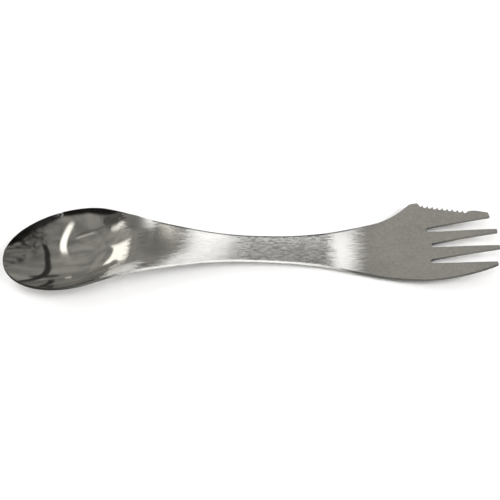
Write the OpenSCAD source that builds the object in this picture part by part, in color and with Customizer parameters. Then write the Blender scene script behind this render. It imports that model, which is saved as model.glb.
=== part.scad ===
// A spork pressed from one sheet of stainless steel: a spoon at one end, a narrow
// waist to hold it by, and a fork with four tines and a short saw edge at the other.
// X runs from the spoon's tip to the tines and Z is up from the table that it lies on.

/* [Sheet] */
// Length from the spoon's tip to the longest tines
total_length = 170; // [150:1:190]
// Thickness of the steel sheet
sheet_t = 0.9; // [0.7:0.05:1.3]

/* [Spoon] */
// Width of the bowl where it is widest
bowl_w = 36.7; // [32:0.1:42]
// Distance from the spoon's tip to the widest place
bowl_front = 27.1; // [23:0.1:31]
// Depth of the bowl below its rim
bowl_depth = 7.4; // [5:0.1:9]
// Distance from the widest place to the deepest place, towards the waist
deep_shift = 5.5; // [0:0.5:8]
// Length over which the bowl runs out from its deepest place into the waist
bowl_back = 41; // [36:1:48]
// Distance from the widest place to where the rim starts to fall
level_back = 21.3; // [16:0.1:26]
// Height that the rim loses from there to the spoon's tip
rim_drop = 2; // [0:0.1:2.6]

/* [Waist] */
// Width where the handle is narrowest
waist_w = 11.1; // [9:0.1:14]
// Distance from the spoon's tip to the narrowest place
waist_place = 93; // [86:1:98]
// Depth of the hollow that stiffens the waist
waist_dish = 0.45; // [0.2:0.05:1]

/* [Fork] */
// Width of the palm of the fork, without the hump on its far edge
palm_w = 28.3; // [25:0.1:31]
// Distance from the longest tines back to the widest place of the palm
palm_place = 21.7; // [19:0.1:23]
// Distance from the longest tines back to the lowest place of the palm
trough_place = 38; // [34:0.5:42]
// Depth of the hollow of the palm
palm_dish = 1.1; // [0.6:0.05:1.6]
// Depth of the hollow at the tips of the tines
tip_dish = 0.25; // [0.1:0.05:0.5]
// Height that the tips of the tines rise above the palm
tine_rise = 4.2; // [2:0.1:6]
// Width that each side of the palm loses on its way to the tips
side_taper = 4.3; // [3.6:0.1:4.8]

/* [Tines] */
// Distance between the middles of neighbouring slots
slot_pitch = 6.45; // [6.2:0.05:6.6]
// Distance of the middle slot from the middle line, away from the saw edge
slot_shift = 0.15; // [0:0.05:0.5]
// Width of a slot at its closed end
slot_root_w = 1.3; // [1:0.05:1.5]
// Width of a slot between the tips of the tines
slot_mouth_w = 5.1; // [4.6:0.05:5.3]
// Length of the middle slot, from the longest tines to its closed end
slot_length = 19.8; // [16:0.2:21]
// Length by which the slot beside the saw edge is longer
far_slot_extra = 1.4; // [0:0.1:2]
// Length by which the slot on the near side is longer
near_slot_extra = 0.7; // [0:0.1:2]
// Distance that the tip of the tine with the saw edge lies back from the longest tips
far_tip_back = 1.5; // [0.5:0.1:2]
// Width of that tip, and how far its end slants
far_tip_w = 1.9; // [1.5:0.1:2.3]
far_tip_slant = 0.4; // [0:0.1:0.6]
// Distance that the tip of the near outer tine lies back from the longest tips
near_tip_back = 1.3; // [1:0.1:3]
// Radius of the corners at the tips
tip_r = 0.35; // [0.2:0.05:0.45]
// Radius in the corners at the closed end of a slot
root_r = 0.45; // [0.3:0.05:0.5]

/* [Saw edge] */
// Number of saw teeth
tooth_count = 9; // [6:1:9]
// Distance from one saw tooth to the next
tooth_pitch = 1.63; // [1.4:0.01:1.65]
// Depth of the gaps between the saw teeth
tooth_depth = 0.88; // [0.6:0.02:1]
// Radius in the bottom corners of the gaps
gap_r = 0.25; // [0.1:0.05:0.3]
// Slope of the line that the saw teeth follow, in degrees
saw_slope = 17.4; // [16:0.2:19]
// Distance from the longest tines back to the first saw tooth
saw_place = 21.8; // [20.5:0.1:23]
// Distance that the first saw tooth stands out beyond half the palm's width
saw_proud = 2.35; // [1.9:0.05:2.7]

/* [Hump] */
// Height of the hump above the first saw tooth
hump_rise = 1.15; // [0.9:0.05:1.5]
// Length of the top of the hump
hump_top = 2.7; // [2.2:0.1:3.4]
// Distance from the first saw tooth back to the end of the hump's top
hump_gap = 1.6; // [1.4:0.1:2]
// Length of the hollow flank that leads up to the hump
flank_length = 14; // [11:0.5:16]
// Radius of the corner of the hump towards the waist
hump_back_r = 2; // [1:0.1:2.4]
// Radius of the corner of the hump towards the saw teeth
hump_front_r = 0.7; // [0.4:0.1:0.9]

/* [Hidden] */

half_length = total_length / 2;
bowl_x = bowl_front - half_length;
deep_x = bowl_x + deep_shift;
level_x = bowl_x + level_back;
waist_x = waist_place - half_length;
palm_x = half_length - palm_place;
trough_x = half_length - trough_place;
saw_reach = palm_w / 2 + saw_proud;
hump_reach = saw_reach + hump_rise;

// Share of the difference between the bowl's and the waist's width that is left
neck_shares = [1, 0.955, 0.81, 0.635, 0.465, 0.335, 0.224, 0.122, 0.051, 0.01, 0];
// Share of the difference between the waist's and the palm's width that is reached
flare_shares = [0, 0.005, 0.03, 0.085, 0.17, 0.3, 0.463, 0.625, 0.778, 0.907, 1];
// Share of the fall from the bowl's rim to the palm's that is left
fall_shares = [1, 0.87, 0.74, 0.615, 0.485, 0.36, 0.25, 0.165, 0.1, 0.04, 0];
// Share of the bowl's depth that is left on its way out into the waist
run_shares = [1, 0.945, 0.8, 0.585, 0.385, 0.25, 0.16, 0.09, 0.04, 0.01, 0];
// Share of the rise of the tines that is reached
lift_shares = [0, 0.12, 0.4, 0.61, 0.82, 1];

// Powers that shape the walls of the bowl, the hollow of the rest, the side of the
// near tine, the slots, the flank of the hump and the far side of the far tine
wall_power = 2.3;
dish_power = 2;
taper_power = 2.2;
slot_power = 0.85;
flank_power = 2.5;
bow_power = 0.6;
// Bow of the far tine's outer side
far_bow = 0.9;
// Share of a gap between two saw teeth that is its flat bottom
gap_floor_share = 0.36;

// The rounded edge of the sheet bulges by this much, and is set in to keep the widths
edge_bulge_share = 0.16;
edge_inset_share = 0.35;
edge_bulge = sheet_t * edge_bulge_share;
edge_inset = sheet_t * edge_inset_share;
// A short length for measuring slopes
probe = 0.01;
// The blank and the outline run past each other by this much
overrun = 2;

// Cells of the blank along the bowl's front, on to the flank of the hump, along the fork,
// across and round its edge
front_cells = 16;
neck_cells = 47;
fork_cells = 19;
cross_cells = 20;
edge_cells = 4;
// Cells of each rounded corner and of each curved side of the outline
arc_cells = 4;
curve_cells = 8;
// The blank starts at this angle from the spoon's tip
tip_angle = 2.5;

rim_low = sheet_t + palm_dish;

function unit(v) = v / norm(v);
function clamp(v, low, high) = max(low, min(high, v));
// Falls smoothly from 1 to 0 while v goes from 0 to 1
function ease(v) = (1 + cos(180 * clamp(v, 0, 1))) / 2;
function reversed(list) = [for (i = [len(list) - 1 : -1 : 0]) list[i]];

// A smooth curve through a table of evenly spaced shares. It starts level, and ends level
// or, where it is open, runs straight out
function smooth(shares, v, open = false) =
    let (last = len(shares) - 1,
         place = clamp(v, 0, 1) * last,
         i = min(floor(place), last - 1),
         r = place - i,
         a = shares[abs(i - 1)],
         b = shares[i],
         c = shares[i + 1],
         d = i < last - 1 ? shares[i + 2] : open ? 2 * c - b : b)
    b + r * (c - a) / 2 + r * r * (2 * a - 5 * b + 4 * c - d) / 2
      + r * r * r * (3 * b - a - 3 * c + d) / 2;

// How far x has gone from the bowl's widest place to the spoon's tip
front_reach = bowl_front - edge_inset;
function front_share(x) =
    clamp((bowl_x - x) / front_reach, 0, cos(tip_angle / 2));

// Distance from the middle line to the middle of the sheet's edge
function half_width(x) =
    x < bowl_x ? (bowl_w / 2 - edge_inset) * sqrt(1 - pow(front_share(x), 2))
    : x < waist_x ? waist_w / 2 - edge_inset + (bowl_w - waist_w) / 2
                    * smooth(neck_shares, (x - bowl_x) / (waist_x - bowl_x))
    : x < palm_x ? waist_w / 2 - edge_inset + (palm_w - waist_w) / 2
                    * smooth(flare_shares, (x - waist_x) / (palm_x - waist_x))
    : palm_w / 2 - edge_inset - side_taper * pow((x - palm_x) / palm_place, taper_power);

// How far the rim of the spoon has come down on its way to the tip
function rim_fall(x) = rim_drop * (1 - ease((level_x - x) / (level_x + half_length)));

// Height of the rim's upper edge. The bowl's floor rests on the table where it is lowest
rim_high = sheet_t + max([for (i = [0 : front_cells])
    let (x = deep_x - front_reach * i / front_cells) dish_depth(x) + rim_fall(x)]);
function rim_height(x) =
    x < level_x ? rim_high - rim_fall(x)
    : x < trough_x
    ? rim_low + (rim_high - rim_low) * smooth(fall_shares, (x - level_x) / (trough_x - level_x))
    : rim_low + tine_rise * smooth(lift_shares, (x - trough_x) / trough_place, true);

// Depth of the hollow below the rim
function dish_depth(x) =
    x < deep_x ? bowl_depth * (1 - pow((deep_x - x) / (deep_x - bowl_x + front_reach), 2))
    : x < waist_x
    ? waist_dish + (bowl_depth - waist_dish) * smooth(run_shares, (x - deep_x) / bowl_back)
    : x < trough_x ? palm_dish
        + (waist_dish - palm_dish) * ease((x - waist_x) / (trough_x - waist_x))
    : tip_dish + (palm_dish - tip_dish) * ease((x - trough_x) / trough_place);
function cross_power(x) =
    dish_power + (wall_power - dish_power)
                 * (x < bowl_x ? 1 - pow(front_share(x), 2) : ease((x - deep_x) / bowl_back));

// Share of the hollow's depth at a point: 1 in the middle and 0 at the rim
function hollow_share(x, y) = 1 - pow(abs(y) / half_width(x), cross_power(x));

// Middle surface of the sheet, and the direction square to it
function place_at(x, y) =
    [x, y, rim_height(x) - sheet_t / 2 - dish_depth(x) * hollow_share(x, y)];
function square_to(x, y) =
    unit(cross(place_at(x + probe, y) - place_at(x - probe, y),
               place_at(x, y + probe) - place_at(x, y - probe)));

// The far edge is the outline's own up to the flank of the hump. From there the blank
// is left wide, and the outline cuts it
saw_x = half_length - saw_place;
hump_end_x = saw_x - hump_gap;
hump_start_x = hump_end_x - hump_top;
flank_x = hump_start_x - flank_length;
function edge_y(x, side) =
    side < 0 ? -half_width(x)
    : half_width(x) + (hump_reach + overrun - half_width(x))
                      * (1 - ease(2 * (x - flank_x) / flank_length));
function edge_point(x, side) = place_at(x, edge_y(x, side));

// Half-round edge of the sheet between its upper and lower corner
function edge_arc(x, side) =
    let (p = edge_point(x, side),
         n = square_to(x, p[1]),
         along = edge_point(x + probe, side) - edge_point(x - probe, side),
         out = unit(cross(n, along)) * side)
    [for (i = [1 : edge_cells - 1]) let (a = 180 * i / edge_cells)
        p + n * sheet_t / 2 * cos(a) + out * edge_bulge * sin(a)];

// One closed ring round the sheet: its upper face, far edge, lower face and near edge
function skin_point(x, i, side) =
    let (y = edge_y(x, -1) + (edge_y(x, 1) - edge_y(x, -1)) * i / cross_cells)
    place_at(x, y) + square_to(x, y) * side * sheet_t / 2;
function ring(x) = concat(
    [for (i = [0 : cross_cells]) skin_point(x, i, 1)],
    edge_arc(x, 1),
    [for (i = [cross_cells : -1 : 0]) skin_point(x, i, -1)],
    reversed(edge_arc(x, -1)));

blank_end = half_length + overrun;
stations = concat(
    [for (i = [0 : front_cells - 1])
        bowl_x - front_reach * cos(tip_angle + (90 - tip_angle) * i / front_cells)],
    [for (i = [0 : neck_cells - 1]) bowl_x + (flank_x - bowl_x) * i / neck_cells],
    [for (i = [0 : fork_cells]) flank_x + (blank_end - flank_x) * i / fork_cells]);

// The pressed sheet, still wide and long at the fork
module blank() {
    rings = [for (x = stations) ring(x)];
    count = len(rings[0]);
    rows = len(rings);
    skin = [for (i = [0 : rows - 2], j = [0 : count - 1])
        let (a = i * count + j, b = i * count + (j + 1) % count)
        each [[a, b, b + count], [a, b + count, a + count]]];
    polyhedron([for (r = rings) each r],
               concat(skin, end_faces(0, count, true),
                      end_faces((rows - 1) * count, count, false)));
}

// Faces that close one end, in strips across the thickness of the sheet
function end_faces(first, count, front) =
    let (far_mid = cross_cells + edge_cells / 2,
         strips = [for (i = [0 : count / 2 - 1])
            let (a = (far_mid - i + count) % count,
                 b = (far_mid - i - 1 + count) % count,
                 c = (far_mid + i) % count,
                 d = (far_mid + i + 1) % count)
            each (i == 0 ? [[a, b, d]]
                 : i == count / 2 - 1 ? [[a, b, c]]
                 : [[a, b, d], [a, d, c]])])
    [for (f = strips) let (g = [for (k = f) first + k]) front ? g : reversed(g)];

// Points of an arc that rounds the corner at b
function corner(a, b, c, r) =
    let (p = unit(a - b),
         q = unit(c - b),
         half = acos(p * q) / 2,
         centre = b + unit(p + q) * r / sin(half),
         turn = 180 - 2 * half,
         from = b + p * r / tan(half) - centre,
         to = b + q * r / tan(half) - centre)
    [for (i = [0 : arc_cells])
        centre + (from * sin(turn * (1 - i / arc_cells)) + to * sin(turn * i / arc_cells))
                 / sin(turn)];

// Hollow flank that leads up to the hump
flank_rise = hump_reach - half_width(hump_start_x) - edge_bulge / 2;
function flank_point(i) =
    let (v = i / curve_cells, x = flank_x + flank_length * v)
    [x, half_width(x) + edge_bulge / 2 + flank_rise * pow(v, flank_power)];
flank = [for (i = [0 : curve_cells - 1]) flank_point(i)];

// Saw teeth, with the two bottom corners of the gap after each
saw_along = [cos(saw_slope), -sin(saw_slope)];
saw_out = [sin(saw_slope), cos(saw_slope)];
function tooth(i) = [saw_x, saw_reach] + saw_along * tooth_pitch * i;
function gap_corner(i, side) =
    tooth(i) + saw_along * tooth_pitch * (1 + side * gap_floor_share) / 2
    - saw_out * tooth_depth;
function gap_start(i) = corner(tooth(i), gap_corner(i, -1), gap_corner(i, 1), gap_r);
function gap_end(i) = corner(gap_corner(i, -1), gap_corner(i, 1), tooth(i + 1), gap_r);
saw = [for (i = [0 : tooth_count - 1])
    each concat([tooth(i)], gap_start(i), i < tooth_count - 1 ? gap_end(i) : [])];

hump_back = flank_point(curve_cells);
hump_front = [hump_end_x, hump_reach];
hump_foot = gap_corner(-1, 1);
hump = concat(corner(flank[curve_cells - 1], hump_back, hump_front, hump_back_r),
              corner(hump_back, hump_front, hump_foot, hump_front_r),
              corner(hump_front, hump_foot, tooth(0), gap_r));

// Slots between the tines, from the far one to the near one
slot_y = [for (i = [1, 0, -1]) slot_pitch * i - slot_shift];
slot_reach = [for (extra = [far_slot_extra, 0, near_slot_extra]) slot_length + extra];
tip_x = [half_length - far_tip_back, half_length, half_length, half_length - near_tip_back];
function slot_half(slot, x) =
    (slot_root_w + (slot_mouth_w - slot_root_w)
     * pow(max(0, 1 - (half_length - x) / slot_reach[slot]), slot_power)) / 2;
function slot_edge(slot, side, x) = [x, slot_y[slot] + side * slot_half(slot, x)];
function slot_side(slot, side) =
    let (start = half_length - slot_reach[slot],
         end = tip_x[side > 0 ? slot : slot + 1])
    [for (i = [0 : curve_cells]) slot_edge(slot, side, start + (end - start) * i / curve_cells)];
far_sides = [for (slot = [0 : 2]) slot_side(slot, 1)];
near_sides = [for (slot = [0 : 2]) slot_side(slot, -1)];
function slot_run(slot) =
    let (far = far_sides[slot], near = near_sides[slot])
    concat([for (i = [curve_cells - 1 : -1 : 1]) far[i]],
           corner(far[1], far[0], near[0], root_r),
           corner(far[0], near[0], near[1], root_r),
           [for (i = [1 : curve_cells - 1]) near[i]]);

// Outer side of the far tine, and the blunt tips with their rounded corners
far_tip = far_sides[0][curve_cells] + [-far_tip_slant, far_tip_w];
far_side = let (a = gap_corner(tooth_count - 1, 1))
    [for (i = [0 : curve_cells - 1]) let (v = i / curve_cells)
        a + (far_tip - a) * v + [0, far_bow * sin(180 * pow(v, bow_power))]];
function tip(before, far, near, after) =
    concat(corner(before, far, near, tip_r), corner(far, near, after, tip_r));
function inner_tip(slot) =
    let (far = near_sides[slot], near = far_sides[slot + 1])
    tip(far[curve_cells - 1], far[curve_cells], near[curve_cells], near[curve_cells - 1]);

side_room = max(bowl_w / 2, hump_reach) + 2 * overrun;
outline = concat(
    [[-half_length - overrun, -side_room], [-half_length - overrun, side_room],
     [flank_x, side_room]],
    flank, hump, saw, far_side,
    tip(far_side[curve_cells - 1], far_tip, far_sides[0][curve_cells],
        far_sides[0][curve_cells - 1]),
    slot_run(0), inner_tip(0), slot_run(1), inner_tip(1), slot_run(2),
    [near_sides[2][curve_cells], [tip_x[3], -side_room]]);

module spork() {
    color("silver")
    intersection() {
        blank();
        translate([0, 0, -overrun])
        linear_extrude(rim_high + tine_rise + 2 * overrun) polygon(outline);
    }
}

spork();
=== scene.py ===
# %% [markdown]
# # A pressed steel spork
# A spork of this kind is cut from one sheet of stainless steel and pressed in one stroke.
# It has no joints, so the whole lesson is about one skin: its curves, its rounded edge,
# and a finish that changes from a mirror in the bowl to brushed and then satin steel.
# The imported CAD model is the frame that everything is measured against.

# %% Load the frame
import bpy
import math
import numpy as np
from mathutils import Matrix, Vector
from mathutils.geometry import delaunay_2d_cdt


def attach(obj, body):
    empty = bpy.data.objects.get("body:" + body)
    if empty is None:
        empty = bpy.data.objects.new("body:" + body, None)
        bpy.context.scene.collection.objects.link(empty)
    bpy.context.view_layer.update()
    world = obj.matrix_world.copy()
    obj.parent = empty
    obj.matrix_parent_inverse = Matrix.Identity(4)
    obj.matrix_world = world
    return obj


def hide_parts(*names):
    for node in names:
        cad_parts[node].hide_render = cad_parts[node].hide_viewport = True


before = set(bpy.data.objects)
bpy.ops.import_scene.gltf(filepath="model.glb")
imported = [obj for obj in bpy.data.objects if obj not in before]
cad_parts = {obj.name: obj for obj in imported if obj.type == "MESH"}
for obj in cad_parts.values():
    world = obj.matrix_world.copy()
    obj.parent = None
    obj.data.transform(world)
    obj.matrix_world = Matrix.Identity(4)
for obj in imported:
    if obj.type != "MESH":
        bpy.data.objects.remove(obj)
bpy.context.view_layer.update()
MM = 0.001

# %% [markdown]
# ## The sizes
# The CAD skin is made of flat facets, which a polished bowl would show as broken
# reflections. Here the same curves are sampled again, far more finely, so these are the
# CAD model's own sizes in millimetres. X runs along the spork from the spoon's tip to the
# tines, Y goes to the side with the saw edge, and Z is up.

# %% Named sizes
total_length, sheet_t = 170.0, 0.9
bowl_w, bowl_front, bowl_depth = 36.7, 27.1, 7.4
deep_shift, bowl_back = 5.5, 41.0
level_back, rim_drop = 21.3, 2.0
waist_w, waist_place, waist_dish = 11.1, 93.0, 0.45
palm_w, palm_place, trough_place, palm_dish = 28.3, 21.7, 38.0, 1.1
tip_dish, tine_rise, side_taper = 0.25, 4.2, 4.3

edge_bulge, edge_inset = 0.15 * sheet_t, 0.39 * sheet_t
half_length = total_length / 2
bowl_x = bowl_front - half_length
deep_x = bowl_x + deep_shift
level_x = bowl_x + level_back
waist_x = waist_place - half_length
palm_x = half_length - palm_place
trough_x = half_length - trough_place
rim_low = sheet_t + palm_dish
print("widest place of the bowl at x =", bowl_x, "and the waist at x =", waist_x)

# %% [markdown]
# ## Curves through a few shares
# Pressed forms have no straight lines, but they are calm: a handful of evenly spaced
# values with a smooth curve through them is enough. A spline through more points would
# follow every small error and would show as a wave in the reflections.

# %% Curve helpers
neck_shares = [1, 0.955, 0.81, 0.635, 0.465, 0.335, 0.224, 0.122, 0.051, 0.01, 0]
flare_shares = [0, 0.005, 0.03, 0.085, 0.17, 0.3, 0.463, 0.625, 0.778, 0.907, 1]
fall_shares = [1, 0.87, 0.74, 0.615, 0.485, 0.36, 0.25, 0.165, 0.1, 0.04, 0]
lift_shares = [0, 0.12, 0.4, 0.61, 0.82, 1]
run_shares = [1, 0.945, 0.8, 0.585, 0.385, 0.25, 0.16, 0.09, 0.04, 0.01, 0]


def ease(v):
    """Falls smoothly from 1 to 0 while v goes from 0 to 1."""
    return (1 + np.cos(np.pi * np.clip(v, 0, 1))) / 2


def smooth(shares, v, straight_end=False):
    """A smooth curve through evenly spaced shares. It starts level and ends level."""
    s = np.asarray(shares, float)
    last = len(s) - 1
    place = np.clip(v, 0, 1) * last
    i = np.minimum(np.floor(place).astype(int), last - 1)
    r = place - i
    a, b, c = s[np.abs(i - 1)], s[i], s[i + 1]
    d = np.where(i < last - 1, s[np.minimum(i + 2, last)], 2 * c - b if straight_end else b)
    return (b + r * (c - a) / 2 + r * r * (2 * a - 5 * b + 4 * c - d) / 2
            + r ** 3 * (3 * b - a - 3 * c + d) / 2)


print("share of the width halfway down the neck:", round(float(smooth(neck_shares, 0.5)), 3))

# %% [markdown]
# ## Width, rim and depth along the spork
# Three curves along X describe the whole pressing: half the width, the height of the rim,
# and the depth of the dish below it. Each is built of a few runs that meet level, so that
# no kink shows where one ends. The press tool could be drawn from the same three curves.

# %% Half the width
front_reach = bowl_front - edge_inset
side_reach = bowl_w / 2 - edge_inset
taper_power = 2.2


def half_width(x):
    x = np.asarray(x, float)
    u = np.clip((bowl_x - x) / front_reach, 0, 1)
    waist = waist_w / 2 - edge_inset
    neck_run = (x - bowl_x) / (waist_x - bowl_x)
    flare_run = (x - waist_x) / (palm_x - waist_x)
    taper_run = np.maximum(x - palm_x, 0) / palm_place
    neck = waist + (bowl_w - waist_w) / 2 * smooth(neck_shares, neck_run)
    flare = waist + (palm_w - waist_w) / 2 * smooth(flare_shares, flare_run)
    taper = palm_w / 2 - edge_inset - side_taper * taper_run ** taper_power
    return np.select([x < bowl_x, x < waist_x, x < palm_x],
                     [side_reach * np.sqrt(np.maximum(1 - u * u, 0)), neck, flare], taper)


print("half width at the waist:", round(float(half_width(waist_x)), 2), "mm")


# %% Depth of the dish and height of the rim
floor_samples = 17


def rim_fall(x):
    return rim_drop * (1 - ease((level_x - x) / (level_x + half_length)))


def dish_depth(x):
    front = bowl_depth * (1 - ((deep_x - x) / (deep_x - bowl_x + front_reach)) ** 2)
    spoon = waist_dish + (bowl_depth - waist_dish) * smooth(run_shares, (x - deep_x) / bowl_back)
    grip = palm_dish + (waist_dish - palm_dish) * ease((x - waist_x) / (trough_x - waist_x))
    tines = tip_dish + (palm_dish - tip_dish) * ease((x - trough_x) / trough_place)
    return np.select([x < deep_x, x < waist_x, x < trough_x], [front, spoon, grip], tines)


floor_x = np.linspace(deep_x - front_reach, deep_x, floor_samples)
rim_high = sheet_t + float(np.max(dish_depth(floor_x) + rim_fall(floor_x)))


def rim_height(x):
    fall_run = (x - level_x) / (trough_x - level_x)
    fall = rim_low + (rim_high - rim_low) * smooth(fall_shares, fall_run)
    rise = rim_low + tine_rise * smooth(lift_shares, (x - trough_x) / trough_place, True)
    return np.select([x < level_x, x < trough_x], [rim_high - rim_fall(x), fall], rise)


for x in (bowl_x, waist_x, trough_x, half_length):
    print(f"x {x:6.1f}: half width {float(half_width(x)):5.2f}, rim at {float(rim_height(x)):5.2f}")

# %% [markdown]
# ## The middle surface of the sheet
# Everything is measured from the surface in the middle of the sheet. The upper and the
# lower skin lie half a thickness to either side of it, square to it, as pressing leaves
# them. The direction square to the surface also becomes the shading normal, so that the
# mirror in the bowl is as smooth as the formula and not as rough as the triangles.

# %% Middle surface and its normal
flat_floor, past_rim, least_width = 0.3, 1.2, 1e-6


def mid_height(x, y):
    """Height of the middle surface. The bowl's floor is a little flatter than a parabola."""
    u = np.clip((bowl_x - x) / front_reach, 0, 1)
    s = np.minimum(np.abs(y) / np.maximum(half_width(x), least_width), past_rim)
    power = 2 + flat_floor * np.where(x < bowl_x, 1 - u * u, ease((x - deep_x) / bowl_back))
    return rim_height(x) - sheet_t / 2 - dish_depth(x) * (1 - s ** power)


def place_at(x, y):
    return np.stack([x, y, mid_height(x, y)], -1)


def square_to(x, y, probe=0.02):
    dx = (mid_height(x + probe, y) - mid_height(x - probe, y)) / (2 * probe)
    dy = (mid_height(x, y + probe) - mid_height(x, y - probe)) / (2 * probe)
    n = np.stack([-dx, -dy, np.ones_like(dx)], -1)
    return n / np.linalg.norm(n, axis=-1, keepdims=True)


print("height of the bowl's floor:", round(float(mid_height(np.array(bowl_x), np.array(0.0))), 3))

# %% [markdown]
# ## The outline, corner by corner
# The blank is cut from the sheet before it is pressed. Its outline carries the character
# of this spork: the hollow flank, the hump, nine hooked saw teeth and the three slots.
# Sharp corners catch no light, so every corner that a thumb can touch gets a small arc.

# %% Rounded corners
def unit(v):
    return v / np.linalg.norm(v)


def corner(a, b, c, r, cells=7):
    """Points of an arc of radius r that rounds the corner at b."""
    a, b, c = map(np.asarray, (a, b, c))
    p, q = unit(a - b), unit(c - b)
    half = math.acos(float(p @ q)) / 2
    centre = b + unit(p + q) * r / math.sin(half)
    turn = math.pi - 2 * half
    start, end = b + p * r / math.tan(half) - centre, b + q * r / math.tan(half) - centre
    return [centre + (start * math.sin(turn * (1 - i / cells)) + end * math.sin(turn * i / cells))
            / math.sin(turn) for i in range(cells + 1)]


print("a square corner gets", len(corner((0, 1), (0, 0), (1, 0), 0.2)), "points")

# %% [markdown]
# ## Saw teeth and hump
# The saw runs along a line that leans in towards the tips. Each tooth comes to a point, and
# each gap has a narrow floor with rounded corners, because a punch with sharp corners would
# soon chip. A hollow flank leads up to the hump, which can keep a finger off the teeth.

# %% Where the teeth and the hump stand
tooth_count, tooth_pitch, tooth_depth, gap_r, gap_floor = 9, 1.63, 0.88, 0.25, 0.36
saw_slope, saw_x, saw_reach = math.radians(17.4), half_length - 21.8, 16.5
hump_reach, hump_top, hump_gap, flank_length = 17.65, 2.7, 1.6, 14.0
hump_back_r, hump_front_r, flank_power = 2.0, 0.7, 2.5
curve_cells = 20

saw_along = np.array([math.cos(saw_slope), -math.sin(saw_slope)])
saw_out = np.array([math.sin(saw_slope), math.cos(saw_slope)])
hump_end_x = saw_x - hump_gap
flank_x = hump_end_x - hump_top - flank_length


def tooth(i):
    return np.array([saw_x, saw_reach]) + saw_along * tooth_pitch * i


def gap_corner(i, side):
    return (tooth(i) + saw_along * tooth_pitch * (1 + side * gap_floor) / 2
            - saw_out * tooth_depth)


def flank_point(v):
    x = flank_x + flank_length * v
    end = float(half_width(flank_x + flank_length)) + edge_bulge
    side = float(half_width(x)) + edge_bulge
    return np.array([x, side + (hump_reach - end) * v ** flank_power])


print("the saw starts at x =", round(saw_x, 2), "and the hump ends at x =", round(hump_end_x, 2))

# %% Points of the flank, the hump and the teeth
flank = [flank_point(i / curve_cells) for i in range(curve_cells)]
hump_back, hump_front = flank_point(1), np.array([hump_end_x, hump_reach])
hump = (corner(flank[-1], hump_back, hump_front, hump_back_r)
        + corner(hump_back, hump_front, gap_corner(-1, 1), hump_front_r)
        + corner(hump_front, gap_corner(-1, 1), tooth(0), gap_r))
saw = []
for i in range(tooth_count):
    saw.append(tooth(i))
    saw += corner(tooth(i), gap_corner(i, -1), gap_corner(i, 1), gap_r)
    if i < tooth_count - 1:
        saw += corner(gap_corner(i, -1), gap_corner(i, 1), tooth(i + 1), gap_r)
print(tooth_count, "teeth over", round(tooth_pitch * tooth_count, 2), "mm")

# %% [markdown]
# ## Slots and tips
# Three slots make four tines. Each slot opens from its root to its mouth, a little faster
# at first, so that the tines taper like blades and stay strong at their roots. The outer
# tines end further back than the two in the middle. Each tip is cut blunt with two small
# arcs, because a sharp one would prick the mouth.

# %% Sides of the slots
slot_pitch, slot_shift, slot_root_w, slot_mouth_w = 6.45, 0.15, 1.3, 5.1
slot_length, slot_more, slot_opening = 19.8, (1.4, 0.0, 0.7), 0.85
tip_back = (1.5, 0.02, 0.02, 1.3)
tip_r, root_r, far_tip_w, far_tip_slant = 0.35, 0.45, 1.9, 0.4
far_bow, bow_skew = 0.9, 0.6

slot_reach = [slot_length + more for more in slot_more]
slot_y = [slot_pitch * i - slot_shift for i in (1, 0, -1)]
tip_x = [half_length - back for back in tip_back]


def slot_side(slot, side):
    start, end = half_length - slot_reach[slot], tip_x[slot if side > 0 else slot + 1]
    points = []
    for i in range(curve_cells + 1):
        x = start + (end - start) * i / curve_cells
        open_share = max(0.0, 1 - (half_length - x) / slot_reach[slot]) ** slot_opening
        half = (slot_root_w + (slot_mouth_w - slot_root_w) * open_share) / 2
        points.append(np.array([x, slot_y[slot] + side * half]))
    return points


far_sides = [slot_side(k, 1) for k in range(3)]
near_sides = [slot_side(k, -1) for k in range(3)]
print("slots", [round(reach, 1) for reach in slot_reach], "mm long")


# %% Tips, and the whole way round the fork
def slot_run(k):
    far, near = far_sides[k], near_sides[k]
    return (far[-2:0:-1] + corner(far[1], far[0], near[0], root_r)
            + corner(far[0], near[0], near[1], root_r) + near[1:-1])


def tip(before, far, near, after):
    return corner(before, far, near, tip_r) + corner(far, near, after, tip_r)


def tip_after(k):
    near, far = near_sides[k], far_sides[k + 1]
    return tip(near[-2], near[-1], far[-1], far[-2])


far_tip = far_sides[0][-1] + np.array([-far_tip_slant, far_tip_w])
last_gap = gap_corner(tooth_count - 1, 1)
far_side = [last_gap + (far_tip - last_gap) * (i / curve_cells)
            + np.array([0, far_bow * math.sin(math.pi * (i / curve_cells) ** bow_skew)])
            for i in range(curve_cells)]
near_tip = near_sides[2][-1]
near_edge = np.array([tip_x[3], -float(half_width(tip_x[3])) - edge_bulge])
first_tip = tip(far_side[-1], far_tip, far_sides[0][-1], far_sides[0][-2])
fork = (flank + hump + saw + far_side + first_tip + slot_run(0) + tip_after(0)
        + slot_run(1) + tip_after(1) + slot_run(2))
print("points round the fork:", len(fork))

# %% [markdown]
# ## One closed outline
# The outline of the cut fork is set in by the width of its rounded edge, and the plain
# curves of the spoon and the waist are added at both sides of it. Setting a polygon in is
# done corner by corner: each point moves along the line that halves its corner, further
# where the corner is sharp.

# %% Close and inset the outline
step, round_cells, near_gap = 0.45, 129, 0.3
sharpest, shortest = 0.35, 0.02


def miters(points):
    """For each point of a closed, clockwise outline, the move that offsets it by 1."""
    before, after = points - np.roll(points, 1, 0), np.roll(points, -1, 0) - points
    n = [np.stack([-e[:, 1], e[:, 0]], 1) / np.linalg.norm(e, axis=1)[:, None]
         for e in (before, after)]
    return (n[0] + n[1]) / np.maximum(1 + (n[0] * n[1]).sum(1), sharpest)[:, None]


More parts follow.
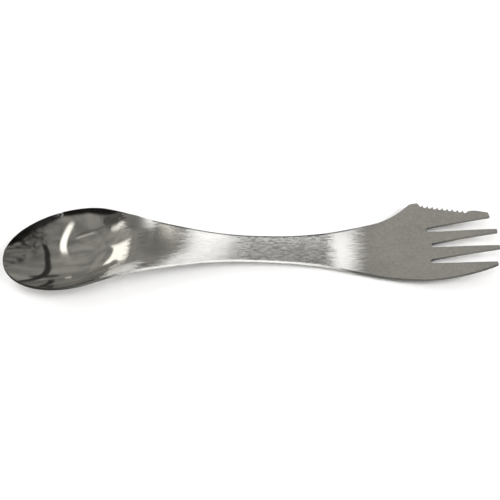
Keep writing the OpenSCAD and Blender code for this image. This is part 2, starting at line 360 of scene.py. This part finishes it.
near_x = np.arange(tip_x[3] - near_gap, bowl_x, -step)
round_a = np.linspace(0, math.pi, round_cells + 1)[:-1]
far_x = np.arange(bowl_x, flank_x - step / 2, step)
near_run = np.stack([near_x, -half_width(near_x) - edge_bulge], 1)
front_run = np.stack([bowl_x - (front_reach + edge_bulge) * np.sin(round_a),
                      -(side_reach + edge_bulge) * np.cos(round_a)], 1)
far_run = np.stack([far_x, half_width(far_x) + edge_bulge], 1)
near_end = corner(near_tip, near_edge, near_run[0], tip_r)
near_start = corner(near_sides[2][-2], near_tip, near_edge, tip_r)
every_point = np.array(fork + near_start + near_end + list(near_run[1:]) + list(front_run)
                       + list(far_run))
keep = np.linalg.norm(every_point - np.roll(every_point, 1, 0), axis=1) > shortest
outer = every_point[keep]
outward = miters(outer)
base = outer - outward * edge_bulge
following = np.roll(outer, -1, 0)
area = float(np.sum(outer[:, 0] * following[:, 1] - outer[:, 1] * following[:, 0])) / 2
print(len(outer), "points, area", round(area, 1), "square mm (negative: clockwise)")

# %% [markdown]
# ## Fill the outline with triangles
# A regular net of points inside the outline, joined by Delaunay triangles, gives even
# triangles everywhere and follows the saw teeth without a seam. The net stays a little
# clear of the outline, so that no thin slivers appear there.

# %% Triangles in plan
net, net_half_width, row_share, clear_share = 0.62, 19.2, 0.87, 0.42
tiny, weld_gap, inside_only = 1e-12, 1e-7, 1

gx, gy = np.meshgrid(np.arange(-half_length, half_length, net),
                     np.arange(-net_half_width, net_half_width, net * row_share))
gx = gx + (np.arange(gx.shape[0]) % 2)[:, None] * net / 2
grid = np.stack([gx.ravel(), gy.ravel()], 1)


def inside(points, loop, clear):
    """Which points lie inside the loop and at least this far from it."""
    hit = np.zeros(len(points), bool)
    near = np.full(len(points), np.inf)
    for p, q in zip(loop, np.roll(loop, -1, 0)):
        d = q - p
        crosses = (p[1] > points[:, 1]) != (q[1] > points[:, 1])
        if abs(d[1]) > tiny:
            hit ^= crosses & (points[:, 0] < p[0] + (points[:, 1] - p[1]) * d[0] / d[1])
        t = np.clip(((points - p) @ d) / max(d @ d, tiny), 0, 1)
        near = np.minimum(near, np.linalg.norm(points - p - t[:, None] * d, axis=1))
    return hit & (near > clear)


grid = grid[inside(grid, base, net * clear_share)]
loop_count = len(base)
coords = [Vector(p) for p in base] + [Vector(p) for p in grid]
ring_edges = [(i, (i + 1) % loop_count) for i in range(loop_count)]
plan, _, tris, origin, _, _ = delaunay_2d_cdt(coords, ring_edges, [], inside_only, weld_gap)
place_of = {o: k for k, group in enumerate(origin) for o in group}
flat = np.array([[p.x, p.y] for p in plan])
ring_at = np.array([place_of[i] for i in range(loop_count)])
print(len(flat), "points and", len(tris), "triangles in plan")

# %% [markdown]
# ## Two skins and a rounded edge
# Tumbling and polishing take the burr off a stamped edge, and leave it slightly rounded.
# The rim of a real spoon shows this as a thin bright line. The rows of the edge follow a
# squarish curve, flat in the middle of the sheet's thickness and round at its corners.

# %% Points of the two skins
upper_n = square_to(flat[:, 0], flat[:, 1])
middle = place_at(flat[:, 0], flat[:, 1])
points = [middle + upper_n * sheet_t / 2, middle - upper_n * sheet_t / 2]
normals = [upper_n, -upper_n]
count = len(flat)
print(count, "points in each skin")

# %% Rows of points round the edge
rows, squareness = 8, 2.6

ring_n = upper_n[ring_at]
reach = np.linalg.norm(outward, axis=1, keepdims=True) * edge_bulge
flat_out = np.concatenate([outward, np.zeros((loop_count, 1))], 1)
side_n = flat_out - ring_n * (ring_n * flat_out).sum(1, keepdims=True)
side_n /= np.linalg.norm(side_n, axis=1, keepdims=True)
for j in range(1, rows):
    a = math.pi * j / rows
    c = math.copysign(abs(math.cos(a)) ** (2 / squareness), math.cos(a))
    g = math.sin(a) ** (2 / squareness)
    points.append(middle[ring_at] + ring_n * sheet_t / 2 * c + side_n * reach * g)
    slope_n = (ring_n * math.copysign(abs(c) ** (squareness - 1), c) * edge_bulge
               + side_n * g ** (squareness - 1) * sheet_t / 2)
    normals.append(slope_n / np.linalg.norm(slope_n, axis=1, keepdims=True))
print(rows - 1, "rows of", loop_count, "points round the edge")

# %% Faces of the skins and of the edge
faces = []
for t in tris:
    a, b, c = (flat[k] for k in t)
    left = (b[0] - a[0]) * (c[1] - a[1]) - (b[1] - a[1]) * (c[0] - a[0]) > 0
    up = tuple(t) if left else tuple(reversed(t))
    faces += [up, tuple(k + count for k in reversed(up))]
between = [2 * count + j * loop_count + np.arange(loop_count) for j in range(rows - 1)]
ladder = [ring_at, *between, ring_at + count]
for upper_row, lower_row in zip(ladder, ladder[1:]):
    after_u, after_l = np.roll(upper_row, -1), np.roll(lower_row, -1)
    faces += [tuple(int(v) for v in f) for f in zip(upper_row, after_u, after_l, lower_row)]

print(len(faces), "faces")

# %% One skin
mesh = bpy.data.meshes.new("pressed_sheet")
mesh.from_pydata([tuple(p * MM) for p in np.concatenate(points)], [], faces)
mesh.polygons.foreach_set("use_smooth", [True] * len(mesh.polygons))
mesh.update()
mesh.normals_split_custom_set_from_vertices([tuple(n) for n in np.concatenate(normals)])
spork = bpy.data.objects.new("pressed_sheet", mesh)
bpy.context.scene.collection.objects.link(spork)
print(len(mesh.vertices), "vertices,", len(mesh.polygons), "faces")

# %% [markdown]
# ## Two maps for the finish
# Brushing is a direction, so the shader has to know which way the brush ran. The map
# "across" is laid so that its first axis runs across the spork, and the shader takes that
# axis as its tangent. The map "cut" tells the stamped edge from the two skins, because a
# stamped edge is never polished as a bowl is. Its second axis is the distance from the
# edge in millimetres, up to one.

# %% Which way the brush ran
all_points = np.concatenate(points)
vert_of = np.empty(len(mesh.loops), int)
mesh.loops.foreach_get("vertex_index", vert_of)


def lay_map(name, first, second):
    """A texture map from two values for each vertex."""
    made = mesh.uv_layers.new(name=name)
    made.data.foreach_set("uv", np.stack([first[vert_of], second[vert_of]], 1).ravel())


lay_map("across", all_points[:, 1] / total_length + 0.5, all_points[:, 0] / total_length + 0.5)
print("the first axis of the map runs across the brushing")

# %% How far a point lies from the cut edge
farthest = 1.0
edge_gap = np.full(count, farthest)
for p, q in zip(base, np.roll(base, -1, 0)):
    run = q - p
    t = np.clip((flat - p) @ run / max(run @ run, tiny), 0, 1)
    edge_gap = np.minimum(edge_gap, np.linalg.norm(flat - p - t[:, None] * run, axis=1))
edge_rows = len(all_points) - 2 * count
on_cut = np.concatenate([np.zeros(2 * count), np.ones(edge_rows)])
lay_map("cut", on_cut, np.concatenate([edge_gap, np.full(count, farthest), np.zeros(edge_rows)]))
print(edge_rows, "of", len(all_points), "vertices lie on the cut edge")

# %% [markdown]
# ## Take the place of the CAD solid
# The real spork is one piece and moves as one, so the finer skin rides on the one body,
# root. It replaces the look of the CAD solid and nothing else: sizes and contacts still
# come from the solid.

# %% Hand the skin to the frame
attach(spork, "root")
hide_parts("spork")
print("the skin takes the place of the CAD solid")

# %% [markdown]
# ## Nodes written as sums
# A tree of nodes is easier to read as a few sums than as boxes and wires. So each kind of
# node that comes up more than once has a short helper. New nodes go into the tree that was
# opened last.

# %% Helpers that add nodes
def open_tree(owner):
    """Empty the node tree of a material or of the world, ready for new nodes."""
    owner.use_nodes = True
    owner.node_tree.nodes.clear()
    return owner.node_tree


def node(kind, **values):
    """Add a node and set its properties and sockets. A value may be another socket."""
    made = tree.nodes.new(kind)
    for name, value in values.items():
        if hasattr(made, name):
            setattr(made, name, value)
            continue
        key = int(name[3:]) if name.startswith("in_") else name.replace("_", " ")
        if isinstance(value, bpy.types.NodeSocket):
            tree.links.new(value, made.inputs[key])
        else:
            made.inputs[key].default_value = value
    return made


def noise(vector, scale, detail=3.0, rough=0.55):
    return node("ShaderNodeTexNoise", Vector=vector, Scale=scale, Detail=detail,
                Roughness=rough).outputs["Fac"]


def blend_value(share, a, b):
    return node("ShaderNodeMix", data_type="FLOAT", in_0=share, in_2=a, in_3=b).outputs[0]


def blend_colour(share, a, b):
    return node("ShaderNodeMix", data_type="RGBA", in_0=share, in_6=a, in_7=b).outputs[2]


def dimmed(colour, factor):
    return node("ShaderNodeVectorMath", operation="SCALE", in_0=colour, in_3=factor).outputs[0]


print("nodes ready")


# %% Helpers for sums
def maths(kind, first, *rest):
    """Join the values with one kind of maths, from left to right."""
    for value in rest:
        first = node("ShaderNodeMath", operation=kind, in_0=first, in_1=value).outputs[0]
    return first


def plus(*values):
    return maths("ADD", *values)


def minus(a, b):
    return maths("SUBTRACT", a, b)


def times(*values):
    return maths("MULTIPLY", *values)


def over(a, b):
    return maths("DIVIDE", a, b)


def most(*values):
    return maths("MAXIMUM", *values)


def least(*values):
    return maths("MINIMUM", *values)


def away(value):
    """How far a value is from nought, to either side."""
    return maths("ABSOLUTE", value, 0.0)


def squared(value):
    return maths("POWER", away(value), 2.0)


print("sums ready")


# %% Helpers for soft steps
def ramp(value, low, high, start, end):
    """Goes from start to end while value goes from low to high, softly at both ends."""
    return node("ShaderNodeMapRange", interpolation_type="SMOOTHSTEP", Value=value,
                From_Min=low, From_Max=high, To_Min=start, To_Max=end).outputs[0]


def rising(value, low, high):
    return ramp(value, low, high, 0.0, 1.0)


def falling(value, low, high):
    return ramp(value, low, high, 1.0, 0.0)


print("soft steps ready")

# %% [markdown]
# ## One steel, four finishes
# The bowl is polished until it mirrors the room. The neck and the waist are brushed along
# their length, which draws each highlight out across them. The palm and the tines are
# satin, and show only a soft grey. The cut edge is as tumbling leaves it. It is one
# material: the finish changes with the place along the spork, and each change is streaky,
# because a polishing wheel never stops on a line.
#
# The two white bands on such a handle are highlights. Lamps alone could make them, but
# then each lamp would also show as a streak in the bowl. So the brushing is coarser in two
# bands instead: it throws light wide enough to catch a lamp that the bowl hardly shows. The
# price is that the bands stay in their places when the camera moves. The patches where the
# bowl ends are rougher in the same way. Other light and shade is painted into the colour: a
# painted dark reflection in an oval on the neck, a painted highlight on the near patch where
# the bowl ends, painted shade as a dark line along the far edge, where stamping rolls the
# sheet over, and painted shade with a painted highlight on the cut edge.

# %% Where on the steel a point lies
steel = bpy.data.materials.new("steel")
tree = open_tree(steel)
surface_at = node("ShaderNodeTexCoord").outputs["Object"]
parted = node("ShaderNodeSeparateXYZ", Vector=surface_at)
x_place, y_place = parted.outputs[0], parted.outputs[1]
edge_map = node("ShaderNodeSeparateXYZ", Vector=node("ShaderNodeUVMap", uv_map="cut").outputs[0])
cut_edge, edge_distance = edge_map.outputs[0], edge_map.outputs[1]


def streaks(along, sideways, detail, rough=0.55):
    """Noise that is squeezed into streaks along X, with so many waves in a metre each way."""
    squeezed = node("ShaderNodeMapping", Vector=surface_at, Scale=(along, sideways, sideways))
    return noise(squeezed.outputs[0], 1.0, detail, rough)


print("places along the spork are in metres from its middle")

# %% Where each finish begins
bowl_end, neck_end = (-0.0405, -0.0335), (-0.0225, -0.0095)
left_band_end, right_band_start = (-0.0105, 0.0065), (0.0300, 0.0365)
satin_start = (0.0370, 0.0450)
streak_length, slant = 0.012, 1.2
far_slant_from, near_slant_from = 0.003, -0.001

x_wandering = plus(x_place, times(minus(streaks(60, 1500, 2.0), 0.5), streak_length))
x_fine = plus(x_place, times(minus(streaks(130, 4200, 3.0, 0.6), 0.5), streak_length))
far_slant = times(most(minus(y_place, far_slant_from), 0.0), slant)
near_slant = times(most(minus(near_slant_from, y_place), 0.0), slant)
brushed = rising(minus(x_wandering, far_slant), *bowl_end)
beyond_neck = rising(plus(x_fine, near_slant), *neck_end)
left_band = times(beyond_neck, falling(x_wandering, *left_band_end))
right_band = rising(x_fine, *right_band_start)
satin = rising(x_fine, *satin_start)
print("brushed from x =", round(bowl_end[0] / MM, 1), "mm")
print("satin from x =", round(satin_start[0] / MM, 1), "mm")

# %% Worn patches where the bowl ends, the near one also with a painted highlight
near_worn_x, near_worn_end = (-0.0450, -0.0410), (-0.0350, -0.0290)
far_worn_x, worn_end = (-0.0430, -0.0370), (-0.0320, -0.0260)
near_worn_y, far_worn_y = (-0.0085, -0.0050), (0.0055, 0.0090)

near_worn_and_highlight = times(rising(x_wandering, *near_worn_x), falling(y_place, *near_worn_y),
                  falling(x_wandering, *near_worn_end))
far_worn = times(rising(x_wandering, *far_worn_x), rising(y_place, *far_worn_y))
worn = times(most(near_worn_and_highlight, far_worn), falling(x_wandering, *worn_end))
coarse = most(left_band, right_band, worn)
print("worn from x =", round(near_worn_x[0] / MM, 1), "to", round(worn_end[1] / MM, 1), "mm")

# %% [markdown]
# ## How rough each finish is
# Roughness is what tells a mirror from satin. Each finish has a range and not one value,
# and streaky noise moves within it: long fine streaks for the satin, short scratches for
# the brushing, and slow clouds for the bowl, where a polishing wheel leaves soft waves.

# %% How rough each finish is
bowl_range, neck_range, waist_range = (0.045, 0.085), (0.09, 0.15), (0.22, 0.32)
band_range, palm_range = (0.42, 0.50), (0.92, 1.0)
wide_band, near_patch = 0.57, 0.75
bowl_side, bowl_side_more = (-0.037, -0.027), 0.18
usual, scratchy = (0.3, 0.7), (0.35, 0.65)

fine, cloud = streaks(90, 5200, 3.0), streaks(70, 160, 2.0)
scratches = streaks(380, 3000, 3.0, 0.6)
bowl_rough = ramp(cloud, *usual, *bowl_range)
neck_rough = plus(ramp(scratches, *scratchy, *neck_range),
                  ramp(x_wandering, *bowl_side, bowl_side_more, 0.0))
waist_rough = ramp(scratches, *scratchy, *waist_range)
plain_band = blend_value(most(worn, right_band), ramp(fine, *usual, *band_range), wide_band)
band_rough = blend_value(near_worn_and_highlight, plain_band, near_patch)
palm_rough = ramp(fine, *usual, *palm_range)
print("roughness: bowl", bowl_range, "waist", waist_range, "palm", palm_range)

# %% Roughness, joined along the spork
shiny_end, shiny_side, far_shine = (0.035, 0.041), (-0.002, 0.001), 0.06
dull_cut_rough, shiny_cut_rough = 0.8, 0.5

handle_rough = blend_value(beyond_neck, neck_rough, waist_rough)
worked = blend_value(coarse, blend_value(brushed, bowl_rough, handle_rough), band_rough)
faced = blend_value(satin, worked, palm_rough)
# The same mask makes the near cut edge of the handle smoother and carries its painted highlight in
# the colour.
smooth_cut_and_highlight = times(brushed, falling(x_place, *shiny_end), ramp(y_place, *shiny_side, 1.0, far_shine))
cut_rough = blend_value(smooth_cut_and_highlight, dull_cut_rough, shiny_cut_rough)
rough = blend_value(cut_edge, faced, cut_rough)
print("the near cut edge shines up to x =", round(shiny_end[1] / MM, 1), "mm")

# %% [markdown]
# ## Colour
# Stainless steel is a little warm. The satin part looks darker than the brushed one, as it
# spreads what it reflects over the whole room, so its colour is set lower. A painted dark
# reflection in an oval on the neck, painted shade along the far edge and the streaks in the
# left band dim the brushed colour. A painted highlight lightens the near patch where the
# bowl ends.

# %% Colour of the brushed and the satin steel
light_steel, bright_steel = (0.61, 0.605, 0.59, 1), (0.70, 0.695, 0.68, 1)
grey_satin, pale_satin = (0.232, 0.224, 0.203, 1), (0.265, 0.256, 0.236, 1)
# The near white is the colour of the painted highlight on the near patch where the bowl ends.
painted_highlight_steel = (0.93, 0.925, 0.91, 1)
oval_x, oval_y, oval_length, oval_width = -0.0278, 0.0030, 0.0065, 0.0085
oval_edge, dark_reflection_dim, edge_shade_dim, streak_dim = (0.15, 1.4), 0.64, 0.2, 0.80
edge_shade_width, edge_shade_end, edge_shade_side = (0.25, 0.60), (0.038, 0.044), (0.0, 0.002)
grain_waves, grain_range, cloud_shade = 1100.0, (0.90, 1.10), (0.97, 1.03)

# Painted reflection: an oval on the neck is darkened to stand in for the dark part of the room that
# it mirrors.
dark_reflection_oval = plus(squared(over(minus(x_fine, oval_x), oval_length)),
            squared(over(minus(y_place, oval_y), oval_width)))
# Painted shade: a dark line along the far edge of the handle, where stamping rolls the sheet over.
painted_edge_shade = times(falling(edge_distance, *edge_shade_width),
               times(brushed, rising(y_place, *edge_shade_side), falling(x_place, *edge_shade_end)))
shade = times(ramp(dark_reflection_oval, *oval_edge, dark_reflection_dim, 1.0), blend_value(painted_edge_shade, 1.0, edge_shade_dim),
              blend_value(left_band, 1.0, ramp(scratches, *scratchy, streak_dim, 1.0)))
brushed_colour = dimmed(blend_colour(fine, light_steel, bright_steel), shade)
# Painted highlight: the near worn patch where the bowl ends is painted near white.
brushed_and_painted_light = blend_colour(near_worn_and_highlight, brushed_colour, painted_highlight_steel)
grain = noise(surface_at, grain_waves, 4.0, 0.7)
mottle = times(ramp(grain, *usual, *grain_range), ramp(cloud, *usual, *cloud_shade))
satin_colour = dimmed(blend_colour(fine, grey_satin, pale_satin), mottle)
faced_colour = blend_colour(satin, brushed_and_painted_light, satin_colour)
print("brushed steel", light_steel[:3], "satin steel", grey_satin[:3])

# %% Colour of the cut edge: painted shade and a painted highlight
cut_shade_dark, cut_shade_grey = (0.09, 0.088, 0.083, 1), (0.20, 0.195, 0.185, 1)
cut_highlight, tine_start = (0.42, 0.415, 0.40, 1), (0.060, 0.080)

# Painted shade: the cut edge is dark from the bowl to the roots of the tines and greyer towards
# their tips. Painted highlight: its near side along the handle is painted lighter.
painted_cut_shade = blend_colour(rising(x_place, *tine_start), cut_shade_dark, cut_shade_grey)
cut_colour = blend_colour(smooth_cut_and_highlight, painted_cut_shade, cut_highlight)
colour = blend_colour(cut_edge, faced_colour, cut_colour)
print("cut edge", cut_shade_dark[:3], "to", cut_highlight[:3])

# %% [markdown]
# ## Brushing
# The scratches are far too small to model, so a bump of three hundredths of a millimetre
# stands for them. The shader does the rest: it draws each highlight out across the brush's
# way, as far as it can, and leaves it short along it.

# %% Brushing and the finished steel
scratch_depth = 0.00003

relief = node("ShaderNodeBump", Strength=1.0, Distance=scratch_depth,
              Height=times(scratches, brushed))
brush_way = node("ShaderNodeTangent", direction_type="UV_MAP", uv_map="across")
shader = node("ShaderNodeBsdfPrincipled", Base_Color=colour, Metallic=1.0, Roughness=rough,
              Anisotropic=1.0, Normal=relief.outputs[0], Tangent=brush_way.outputs[0])
node("ShaderNodeOutputMaterial", Surface=shader.outputs[0])
mesh.materials.append(steel)
print("steel:", len(tree.nodes), "nodes")

# %% [markdown]
# ## A white table
# The spork lies on a matt white table, which carries its shadow. To the camera and in
# reflections the table also glows, more so the further it lies away, as a white backdrop
# does that sweeps up behind. A shadow on a table that glows stays pale.

# %% Table
table_half, table_white = 3.0, (0.86, 0.86, 0.86, 1)
glow_at, glow_share = (0.25, 1.6), (0.12, 0.85)
table_corners = [(-table_half, -table_half, 0), (table_half, -table_half, 0),
                 (table_half, table_half, 0), (-table_half, table_half, 0)]
table_mesh = bpy.data.meshes.new("table")
table_mesh.from_pydata(table_corners, [], [(0, 1, 2, 3)])
table = bpy.data.objects.new("table", table_mesh)
bpy.context.scene.collection.objects.link(table)

paper = bpy.data.materials.new("white_table")
tree = open_tree(paper)
rays = node("ShaderNodeLightPath").outputs
seen = most(rays["Is Camera Ray"], most(rays["Is Glossy Ray"], rays["Is Transmission Ray"]))
matt = node("ShaderNodeBsdfDiffuse", Color=table_white)
table_at = node("ShaderNodeTexCoord").outputs["Object"]
distance = node("ShaderNodeVectorMath", operation="LENGTH", in_0=table_at).outputs["Value"]
lift = node("ShaderNodeEmission", Color=(1, 1, 1, 1),
            Strength=times(seen, ramp(distance, *glow_at, *glow_share)))
both = node("ShaderNodeAddShader", in_0=matt.outputs[0], in_1=lift.outputs[0])
node("ShaderNodeOutputMaterial", Surface=both.outputs[0])
table_mesh.materials.append(paper)
print("table", 2 * table_half, "m wide")

# %% [markdown]
# ## A room to reflect
# Polished steel has no look of its own: it shows the room. In an even room a bowl looks
# like grey plastic, and it takes a few marks with clear edges to make it a mirror. They are
# drawn on a ceiling one metre above the table, where straight things stay straight: a
# patchy grey that is dark at the near side, a thin dark line with a lighter one beside it,
# a darker patch, a dark bar with a foot, a curved streak of light, a bright patch low at the
# far left and a small glint. The camera itself sees plain white.

# %% A ceiling to draw on
lowest = 0.02

world = bpy.data.worlds.new("studio")
bpy.context.scene.world = world
tree = open_tree(world)
ray_way = node("ShaderNodeTexCoord").outputs["Generated"]
axes = node("ShaderNodeSeparateXYZ", Vector=ray_way)
ray_x, ray_y, height = axes.outputs[0], axes.outputs[1], axes.outputs[2]
above = most(height, lowest)
across_x, across_y = over(ray_x, above), over(ray_y, above)


def towards(direction):
    """1 for a ray that runs in this direction, and less the further it turns away."""
    return node("ShaderNodeVectorMath", operation="DOT_PRODUCT", in_0=ray_way,
                in_1=direction).outputs["Value"]


print("rays lower than", lowest, "count as that high")

# %% Patchy grey
left_grey, middle_grey, right_grey = 0.29, 0.19, 0.42
left_fade, right_fade, near_fade = (-0.6, 0.1), (0.25, 0.6), (-2.0, -1.4)
clouds_end, cloud_range, near_range = (-0.12, -0.04), (0.7, 1.35), (0.4, 0.7)
broken_usual, broken_range = (0.42, 0.58), (0.2, 1.2)

soft_clouds = noise(ray_way, 5.0, 4.0, 0.6)
broken = node("ShaderNodeTexNoise", Vector=ray_way, Scale=7.0, Detail=3.0,
              Distortion=2.0).outputs["Fac"]
contrast = blend_value(rising(across_x, *clouds_end), ramp(soft_clouds, *usual, *cloud_range),
                       ramp(broken, *broken_usual, *broken_range))
even = most(ramp(across_x, *left_fade, left_grey, middle_grey),
            ramp(across_x, *right_fade, 0.0, right_grey))
near_grey = falling(across_y, *near_fade)
grey = most(times(even, contrast), times(near_grey, ramp(soft_clouds, *usual, *near_range)))
print("greys from left to right:", left_grey, middle_grey, right_grey)

# %% Dark corner
bend_x, steep_x, corner_dark = -0.11, 0.05, 0.03
corner_slope, steep_slope, left_slope, far_left_slope = 1.54, 2.6, 1.2, 0.4
left_run, far_left_run, corner_border, corner_end = 0.2, 0.5, (-0.37, -0.30), (0.3, 0.5)

corner_rise = plus(times(most(minus(across_x, bend_x), 0.0), corner_slope),
                   times(most(minus(across_x, steep_x), 0.0), steep_slope))
leftward = most(minus(bend_x, across_x), 0.0)
corner_fall = plus(times(least(leftward, left_run), left_slope),
                   times(least(most(minus(leftward, left_run), 0.0), far_left_run), far_left_slope))
corner_edge = plus(minus(across_y, corner_rise), corner_fall)
dark_corner = most(ramp(corner_edge, *corner_border, corner_dark, 1.0),
                   most(near_grey, rising(across_x, *corner_end)))
print("the dark corner leaves", corner_dark, "of the grey")

# %% Thin dark line and a darker patch
line_centre, line_low, line_bend, line_gap = -1.0, -0.33, 0.8, 0.075
line_width, line_end, line_start = (0.012, 0.035), (-0.42, -0.36), (-1.9, -1.6)
light_start, line_dark, line_light = (-0.75, -0.60), 0.75, 0.75
dark_way, dark_width, patch_dark = (-0.775, -0.295, 0.56), (0.9945, 0.9965), 0.6

line_at = node("ShaderNodeMath", operation="MULTIPLY_ADD",
               in_0=squared(minus(across_x, line_centre)), in_1=line_bend,
               in_2=line_low).outputs[0]
past_line = minus(across_y, line_at)
line_span = times(falling(across_x, *line_end), rising(across_x, *line_start))
dark_line = times(line_span, ramp(away(past_line), *line_width, line_dark, 0.0))
light_line = times(ramp(across_x, *light_start, 0.0, line_light),
                   times(line_span, falling(away(minus(past_line, line_gap)), *line_width)))
dark_patch = ramp(towards(dark_way), *dark_width, 0.0, patch_dark)
lined_grey = times(grey, minus(1.0, most(dark_line, dark_patch)))
print("the line is", 2 * line_width[0], "m wide on the ceiling")

# %% Dark bar with a foot
bar_square_to, bar_shift = (0.939, 0.344, 0.011), 0.014
foot_way, foot_width = (-0.335, 0.90, 0.28), (0.9968, 0.9982)
bar_width, bar_start, bar_dark, foot_dark = (0.016, 0.028), (0.2, 0.32), 0.12, 0.15

bar_side = away(minus(towards(bar_square_to), bar_shift))
foot = ramp(towards(foot_way), *foot_width, 1.0, foot_dark)
dark_bar = least(most(ramp(bar_side, *bar_width, bar_dark, 1.0), falling(across_y, *bar_start)),
                 foot)
print("the bar leaves", bar_dark, "of the grey")

# %% Curved streak of light
streak_left, streak_middle, streak_bend, streak_bright = 0.27, 0.1, 0.5, 1.8
streak_width, streak_start = (0.018, 0.05), (-0.55, -0.3)
streak_fade, streak_faded, streak_end = (0.4, 0.65), 0.22, (0.8, 1.1)

bent = times(squared(minus(across_y, streak_middle)), streak_bend)
streak_side = away(plus(across_x, streak_left, bent))
near_part = times(ramp(streak_side, *streak_width, streak_bright, 0.0),
                  rising(across_y, *streak_start))
far_part = times(ramp(across_y, *streak_fade, 1.0, streak_faded), falling(across_y, *streak_end))
streak = times(near_part, far_part)
print("the streak is", streak_bright, "times as bright as white")

# %% Bright patch and glint
patch_bright, patch_start, patch_end, patch_tilt = 1.6, (0.85, 1.05), (1.8, 2.4), 0.25
patch_top, patch_foot = (-0.02, 0.04), (0.0, 0.06)
glint_bright, glint_way, glint_width = 1.2, (-0.845, -0.09, 0.527), (0.993, 0.9985)

turn_left = over(times(ray_x, -1.0), most(ray_y, lowest))
tilt = minus(height, times(turn_left, patch_tilt))
bright_patch = times(ramp(turn_left, *patch_start, 0.0, patch_bright),
                     falling(turn_left, *patch_end), falling(tilt, *patch_top),
                     rising(height, *patch_foot))
glint = ramp(towards(glint_way), *glint_width, 0.0, glint_bright)
print("the patch is", patch_bright, "and the glint", glint_bright, "times as bright as white")

# %% Finished world
warm_light, white = (1, 0.965, 0.885, 1), (1, 1, 1, 1)

marks = most(times(lined_grey, dark_corner, dark_bar), bright_patch, streak, glint, light_line)
to_camera = node("ShaderNodeLightPath").outputs["Is Camera Ray"]
glow = node("ShaderNodeBackground", Color=blend_colour(to_camera, warm_light, white),
            Strength=blend_value(to_camera, marks, 1.0))
node("ShaderNodeOutputWorld", Surface=glow.outputs[0])
print("world:", len(tree.nodes), "nodes")

# %% [markdown]
# ## Lamps
# One large lamp stands in front. Only gloss sees it, so it leaves the table alone, and it
# stands so far to the near side that the smooth bowl hardly shows it to the camera. The
# coarse bands on the handle throw light wide enough to catch it, and turn white. The other
# three lamps do the opposite: gloss doesn't see them, and they only light the table, from
# three sides, which makes the shadow soft and short.

# %% Soft boxes
def soft_box(name, at, aim, width, length, watts):
    """A rectangular lamp whose length runs in the plane of Y and Z."""
    lamp = bpy.data.lights.new(name, "AREA")
    lamp.shape, lamp.size, lamp.size_y, lamp.energy = "RECTANGLE", width, length, watts
    held = bpy.data.objects.new(name, lamp)
    back = (Vector(at) - Vector(aim)).normalized()
    along = back.cross(Vector((1, 0, 0))).normalized()
    side = along.cross(back)
    held.matrix_world = Matrix([[side[i], along[i], back[i], at[i]] for i in range(3)]
                               + [[0, 0, 0, 1]])
    bpy.context.scene.collection.objects.link(held)
    return held


middle_of_table = (0, 0, 0)
front_box = soft_box("front_box", (-0.115, -1.08, 1.0), (0.01, 0, 0), 0.77, 0.62, 25.5)
front_box.visible_diffuse = False
for name, at, size, watts in (("table_lamp", (-0.55, 0.55, 0.95), 0.9, 6.0),
                              ("side_lamp", (0.8, -0.29, 0.7), 0.35, 6.5),
                              ("top_lamp", (-0.05, -0.25, 0.9), 0.5, 3.3)):
    soft_box(name, at, middle_of_table, size, size, watts).visible_glossy = False

# %% [markdown]
# ## Camera
# The camera stands close, so the bowl and the tines are seen from different directions.
# Its place, its two axes and its focal length were worked out from the outline of the
# spork, until the outline of the model lay on it.

# %% Camera
eye = Vector((0.047457, -0.129448, 0.168373))
right, down = Vector((0.980288, 0.100167, -0.170300)), Vector((-0.025662, -0.790100, -0.612441))
forward = right.cross(down)
focal_length, picture_width, sensor_width = 631.0, 500.0, 36.0
nearest_seen, farthest_seen = 0.01, 50.0

lens_data = bpy.data.cameras.new("camera")
lens_data.sensor_width, lens_data.lens = sensor_width, focal_length * sensor_width / picture_width
lens_data.clip_start, lens_data.clip_end = nearest_seen, farthest_seen
camera = bpy.data.objects.new("camera", lens_data)
bpy.context.scene.collection.objects.link(camera)
camera.matrix_world = Matrix([[right[i], -down[i], -forward[i], eye[i]] for i in range(3)]
                             + [[0, 0, 0, 1]])
bpy.context.scene.camera = camera
bpy.context.scene.view_settings.view_transform = "Standard"
print("lens", round(lens_data.lens, 2), "mm")
